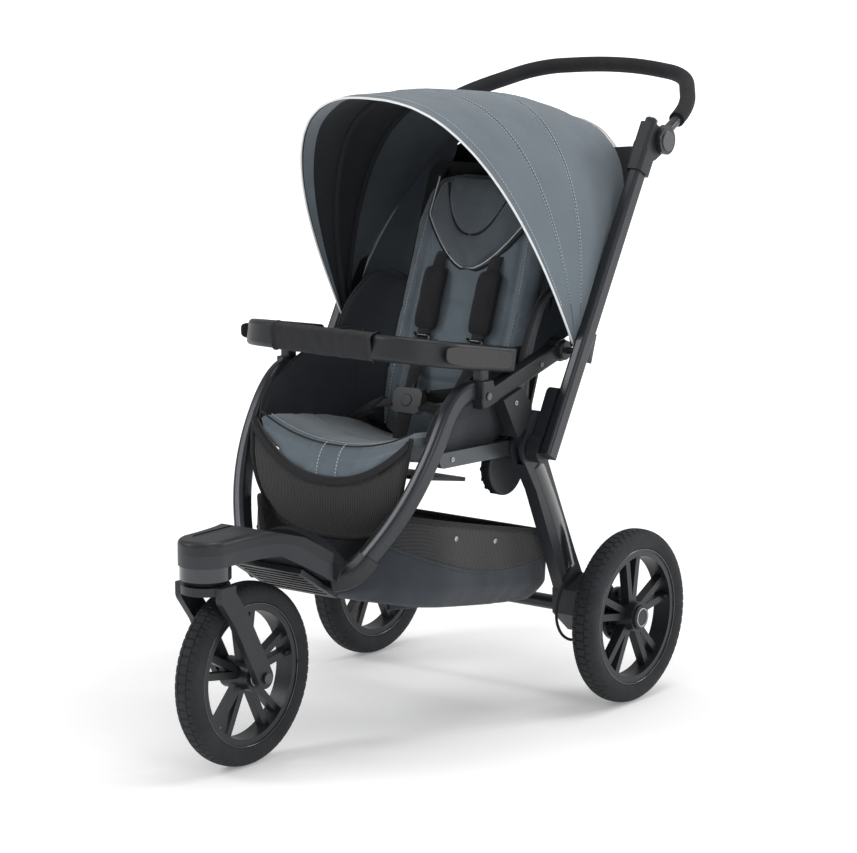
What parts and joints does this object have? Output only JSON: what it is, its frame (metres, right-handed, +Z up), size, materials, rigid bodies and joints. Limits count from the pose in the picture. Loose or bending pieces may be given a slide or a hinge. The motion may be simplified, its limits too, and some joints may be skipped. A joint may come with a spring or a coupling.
{
  "type": "jogging stroller",
  "caption": "Three-wheeled jogging stroller with swivelling front wheel, folding frame, reclining padded seat, adjustable handlebar, arched canopy and basket.",
  "frame": {"origin": "on the ground under the middle of the overall length and width", "axes": "+Z up, the front wheel points along -Y, +X is the rider's left"},
  "size_m": [0.624, 1.252, 1.0854],
  "materials": {
    "frame_paint": "satin charcoal powder coat",
    "dark_plastic": "fine-grained moulded plastic",
    "rim_plastic": "satin",
    "tyre": "matt rubber",
    "steel": "zinc plated",
    "slate_fabric": "plain woven polyester",
    "dark_fabric": "padded woven polyester",
    "black_fabric": "black webbing and mesh",
    "foam": "closed-cell foam",
    "cable": "sheath"
  },
  "bodies": {
    "frame": {"front_tube_left": "frame_paint", "front_tube_right": "frame_paint", "front_yoke": "dark_plastic", "nose_cover": "dark_plastic", "nose_base": "dark_plastic", "swivel_collar": "dark_plastic", "footrest": "frame_paint", "arm_link_left": "dark_plastic", "arm_link_right": "dark_plastic", "knee_struts": "dark_plastic", "seat_rails": "frame_paint", "knee_pins": "steel", "fold_hubs": "dark_plastic", "seat_pan": "dark_plastic", "seat_cushion": "slate_fabric", "calf_flap": "black_fabric", "side_panels": "dark_fabric", "crotch_buckle": "dark_plastic", "basket": "dark_fabric", "frame_screws": "steel"},
    "buckle_button": {"buckle_button": "dark_plastic"},
    "armbar": {"armbar_arms": "dark_plastic", "armbar_sleeve": "black_fabric"},
    "armbar_button_left": {"armbar_button_left": "dark_plastic"},
    "armbar_button_right": {"armbar_button_right": "dark_plastic"},
    "fork": {"fork": "dark_plastic", "steerer_pin": "steel", "front_axle": "steel"},
    "front_wheel": {"front_rim": "rim_plastic", "front_tyre": "tyre", "front_bearings": "steel"},
    "rear_legs": {"rear_leg_left": "dark_plastic", "rear_leg_right": "dark_plastic", "hub_housings": "dark_plastic", "rear_axle": "frame_paint", "brake_cables": "cable"},
    "brake_pin_left": {"brake_pin_left": "dark_plastic"},
    "brake_pin_right": {"brake_pin_right": "dark_plastic"},
    "rear_wheel_left": {"rear_rim_left": "rim_plastic", "rear_tyre_left": "tyre"},
    "rear_wheel_right": {"rear_rim_right": "rim_plastic", "rear_tyre_right": "tyre"},
    "push_frame": {"push_tube_left": "frame_paint", "push_tube_right": "frame_paint", "push_brackets": "dark_plastic", "handle_sleeves": "dark_plastic", "canopy_rear": "slate_fabric"},
    "brake_dial": {"brake_dial": "dark_plastic"},
    "swivel_dial": {"swivel_dial": "dark_plastic"},
    "handlebar": {"handle_tube": "frame_paint", "foam_grip": "foam"},
    "handle_button_left": {"handle_button_left": "dark_plastic"},
    "handle_button_right": {"handle_button_right": "dark_plastic"},
    "seat_back": {"seat_back_board": "dark_plastic", "back_cushion": "slate_fabric", "head_pad": "dark_fabric", "shoulder_pads": "black_fabric"},
    "canopy_bow_rear": {"canopy_bow_rear": "slate_fabric"},
    "canopy_bow_front": {"canopy_bow_front": "slate_fabric"},
    "canopy_front": {"canopy_front": "slate_fabric"}
  },
  "joints": [
    {"name": "fold", "type": "hinge", "parent": "frame", "child": "push_frame", "pos_m": [0, 0.0184, 0.476], "axis": [1, 0, 0], "range_deg": [-95, 0]},
    {"name": "leg_fold", "type": "hinge", "parent": "frame", "child": "rear_legs", "pos_m": [0, 0.0184, 0.476], "axis": [1, 0, 0], "range_deg": [-45.01, 0]},
    {"name": "recline", "type": "hinge", "parent": "push_frame", "child": "seat_back", "pos_m": [0, 0.0184, 0.476], "axis": [-1, 0, 0], "range_deg": [0, 30]},
    {"name": "handle_adjust", "type": "hinge", "parent": "push_frame", "child": "handlebar", "pos_m": [0, 0.3314, 0.972], "axis": [1, 0, 0], "range_deg": [-35, 30]},
    {"name": "canopy_close", "type": "hinge", "parent": "push_frame", "child": "canopy_bow_rear", "pos_m": [0, 0.1134, 0.63], "axis": [1, 0, 0], "range_deg": [-16, 0]},
    {"name": "canopy_bow_step", "type": "hinge", "parent": "canopy_bow_rear", "child": "canopy_bow_front", "pos_m": [0, 0.1134, 0.63], "axis": [1, 0, 0], "range_deg": [-16, 0]},
    {"name": "canopy_front_step", "type": "hinge", "parent": "canopy_bow_front", "child": "canopy_front", "pos_m": [0, 0.1134, 0.63], "axis": [1, 0, 0], "range_deg": [-16, 0]},
    {"name": "fork_swivel", "type": "hinge", "parent": "frame", "child": "fork", "pos_m": [0, -0.5636, 0.34], "axis": [0, 0, 1], "continuous": true},
    {"name": "front_wheel_spin", "type": "hinge", "parent": "fork", "child": "front_wheel", "pos_m": [0, -0.4736, 0.1524], "axis": [1, 0, 0], "continuous": true},
    {"name": "rear_wheel_left_spin", "type": "hinge", "parent": "rear_legs", "child": "rear_wheel_left", "pos_m": [0.2835, 0.2314, 0.1524], "axis": [1, 0, 0], "continuous": true},
    {"name": "rear_wheel_right_spin", "type": "hinge", "parent": "rear_legs", "child": "rear_wheel_right", "pos_m": [-0.2835, 0.2314, 0.1524], "axis": [1, 0, 0], "continuous": true},
    {"name": "brake_dial_turn", "type": "hinge", "parent": "push_frame", "child": "brake_dial", "pos_m": [0.262, 0.3142, 1.00035], "axis": [0, 0.5, 0.866], "range_deg": [0, 90]},
    {"name": "swivel_dial_turn", "type": "hinge", "parent": "push_frame", "child": "swivel_dial", "pos_m": [-0.262, 0.3142, 1.00035], "axis": [0, 0.5, 0.866], "range_deg": [0, 90]},
    {"name": "brake_pin_left_slide", "type": "slide", "parent": "rear_legs", "child": "brake_pin_left", "axis": [1, 0, 0], "range_m": [0, 0.007]},
    {"name": "brake_pin_right_slide", "type": "slide", "parent": "rear_legs", "child": "brake_pin_right", "axis": [-1, 0, 0], "range_m": [0, 0.007]},
    {"name": "handle_button_left_press", "type": "slide", "parent": "handlebar", "child": "handle_button_left", "axis": [-1, 0, 0], "range_m": [0, 0.004], "stiffness_N_per_m": 400},
    {"name": "handle_button_right_press", "type": "slide", "parent": "handlebar", "child": "handle_button_right", "axis": [1, 0, 0], "range_m": [0, 0.004], "stiffness_N_per_m": 400},
    {"name": "armbar_lift", "type": "slide", "parent": "frame", "child": "armbar", "axis": [0, 0, 1], "range_m": [0, 0.035]},
    {"name": "armbar_button_left_press", "type": "slide", "parent": "frame", "child": "armbar_button_left", "axis": [-1, 0, 0], "range_m": [0, 0.003], "stiffness_N_per_m": 400},
    {"name": "armbar_button_right_press", "type": "slide", "parent": "frame", "child": "armbar_button_right", "axis": [1, 0, 0], "range_m": [0, 0.003], "stiffness_N_per_m": 400},
    {"name": "buckle_press", "type": "slide", "parent": "frame", "child": "buckle_button", "axis": [0, 0.9397, -0.342], "range_m": [0, 0.003], "stiffness_N_per_m": 400}
  ],
  "couplings": [
    {"joint": "leg_fold", "follows": "fold", "ratio": 0.47368},
    {"joint": "canopy_bow_step", "follows": "canopy_close", "ratio": 1},
    {"joint": "canopy_front_step", "follows": "canopy_close", "ratio": 1},
    {"joint": "brake_pin_left_slide", "follows": "brake_dial_turn", "m_per_rad": 0.00445},
    {"joint": "brake_pin_right_slide", "follows": "brake_dial_turn", "m_per_rad": 0.00445}
  ]
}
